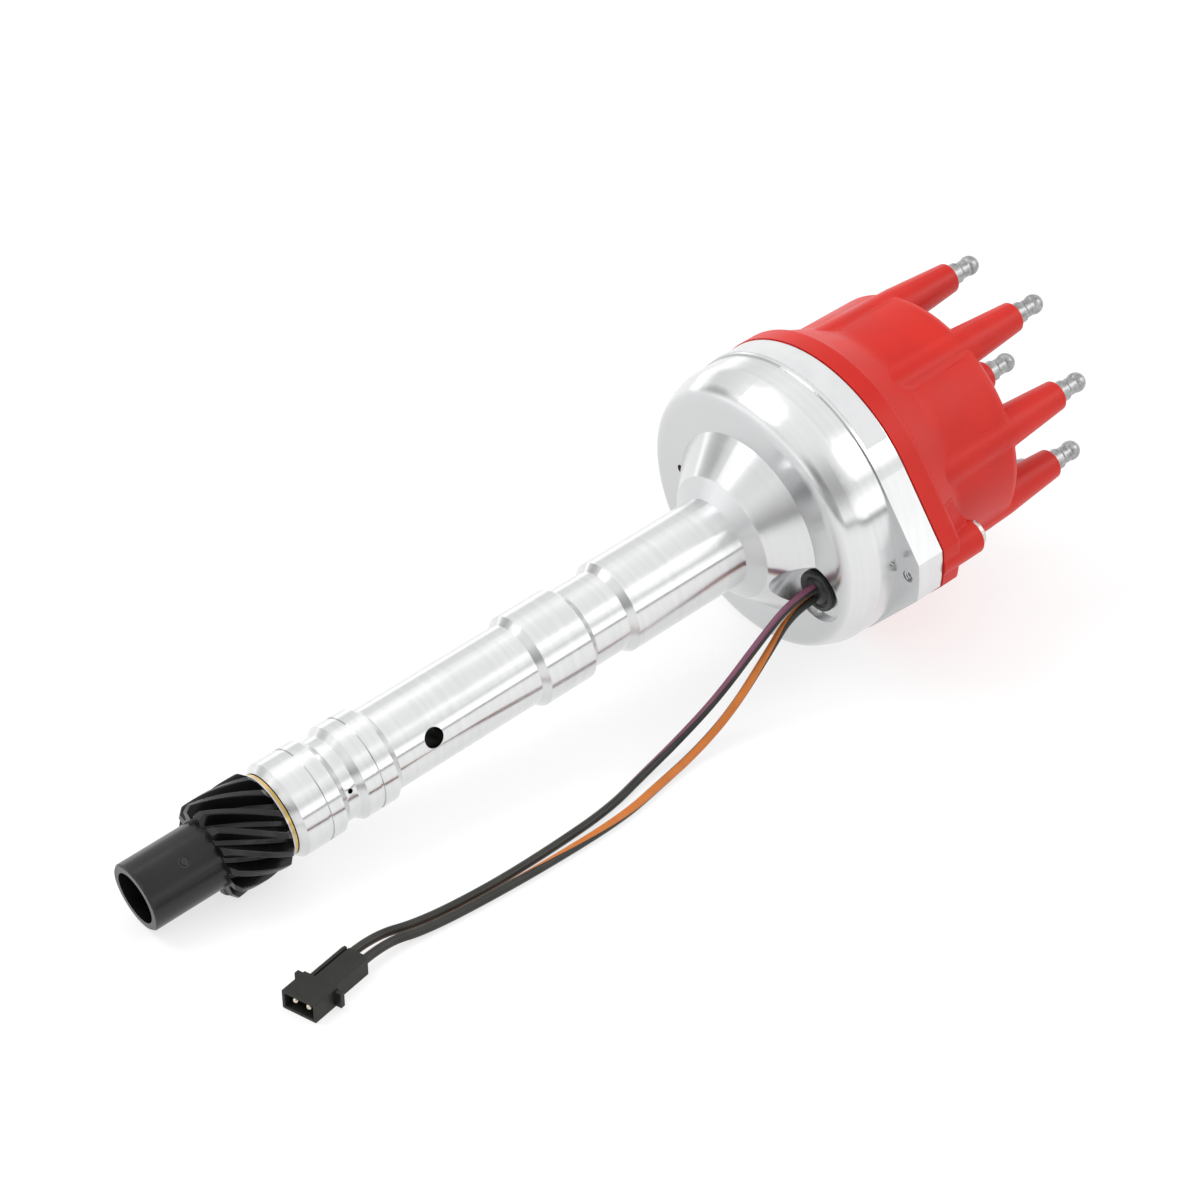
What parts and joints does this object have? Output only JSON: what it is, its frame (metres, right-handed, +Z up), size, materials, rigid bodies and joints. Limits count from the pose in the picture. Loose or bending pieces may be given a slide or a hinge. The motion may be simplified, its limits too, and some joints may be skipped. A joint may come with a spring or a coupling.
{
  "type": "ignition distributor",
  "caption": "Engine ignition distributor with a turned aluminium housing, helical drive gear, red towered cap, and two leads ending in a plug.",
  "frame": {"origin": "on the bench, midway along the lying distributor (leads and plug not counted), under its axis", "axes": "+X along the bench from the drive tube toward the cap, +Z up; the distributor's own axis rises 8.78 degrees toward the cap in the XZ plane"},
  "size_m": [0.3656, 0.1283, 0.1076],
  "materials": {
    "machined_aluminium": "bright turned billet",
    "black_steel": "black heat treated and oiled",
    "bearing_steel": "ground",
    "plated_steel": "zinc plated",
    "sintered_bronze": "sintered and oiled",
    "brass": "machined",
    "contact_brass": "plated",
    "red_plastic": "moulded, satin gloss",
    "black_plastic": "moulded",
    "black_rubber": "moulded",
    "carbon": "pressed carbon",
    "terminal_alloy": "cast",
    "violet_insulation": "wire insulation with a wide black stripe",
    "orange_insulation": "wire insulation with a wide black stripe"
  },
  "bodies": {
    "body": {"housing": "machined_aluminium", "lower_bushing": "sintered_bronze", "bearing_outer_race": "bearing_steel", "pickup_plate": "machined_aluminium", "pickup_coil": "black_plastic", "pickup_pole": "bearing_steel", "pickup_screws": "plated_steel", "cap": "red_plastic", "tower_terminals": "terminal_alloy", "centre_terminal": "terminal_alloy", "brush_spring": "plated_steel", "cap_screws": "plated_steel", "wire_grommet": "black_rubber", "violet_lead": "violet_insulation", "orange_lead": "orange_insulation", "plug_shell": "black_plastic", "plug_contacts": "contact_brass"},
    "shaft": {"main_shaft": "bearing_steel", "drive_gear": "black_steel", "roll_pin": "black_steel", "thrust_shim": "bearing_steel", "thrust_washer": "brass", "bearing_inner_race": "bearing_steel", "centre_cam": "plated_steel"},
    "advance": {"pole_sleeve": "bearing_steel", "reluctor": "bearing_steel", "advance_base": "plated_steel", "weight_pins": "bearing_steel", "advance_springs": "plated_steel", "rotor": "red_plastic", "rotor_strip": "brass", "rotor_screws": "plated_steel"},
    "weight_1": {"advance_weight_1": "plated_steel"},
    "weight_2": {"advance_weight_2": "plated_steel"},
    "ball_cage": {"bearing_cage": "bearing_steel"},
    "brush": {"carbon_brush": "carbon"}
  },
  "joints": [
    {"name": "shaft_spin", "type": "hinge", "parent": "body", "child": "shaft", "pos_m": [-0.18121, 0, 0.01176], "axis": [0.9883, 0, 0.1526], "continuous": true},
    {"name": "cage_roll", "type": "hinge", "parent": "body", "child": "ball_cage", "pos_m": [0.05746, 0, 0.04861], "axis": [0.9883, 0, 0.1526], "continuous": true},
    {"name": "advance_turn", "type": "hinge", "parent": "shaft", "child": "advance", "pos_m": [0.08563, 0, 0.05296], "axis": [0.9883, 0, 0.1526], "range_deg": [0, 11], "deforming": ["advance_springs"]},
    {"name": "weight_1_swing", "type": "hinge", "parent": "advance", "child": "weight_1", "pos_m": [0.08305, -0.00616, 0.06968], "axis": [0.9883, 0, 0.1526], "range_deg": [-14.3, 0]},
    {"name": "weight_2_swing", "type": "hinge", "parent": "advance", "child": "weight_2", "pos_m": [0.08821, 0.00616, 0.03625], "axis": [0.9883, 0, 0.1526], "range_deg": [-14.3, 0]},
    {"name": "brush_slide", "type": "slide", "parent": "body", "child": "brush", "axis": [0.9883, 0, 0.1526], "range_m": [0, 0.0015], "stiffness_N_per_m": 200, "springref_m": -0.002, "deforming": ["brush_spring"]}
  ],
  "couplings": [
    {"joint": "cage_roll", "follows": "shaft_spin", "ratio": 0.3963},
    {"joint": "weight_1_swing", "follows": "advance_turn", "ratio": -1.3},
    {"joint": "weight_2_swing", "follows": "advance_turn", "ratio": -1.3}
  ]
}
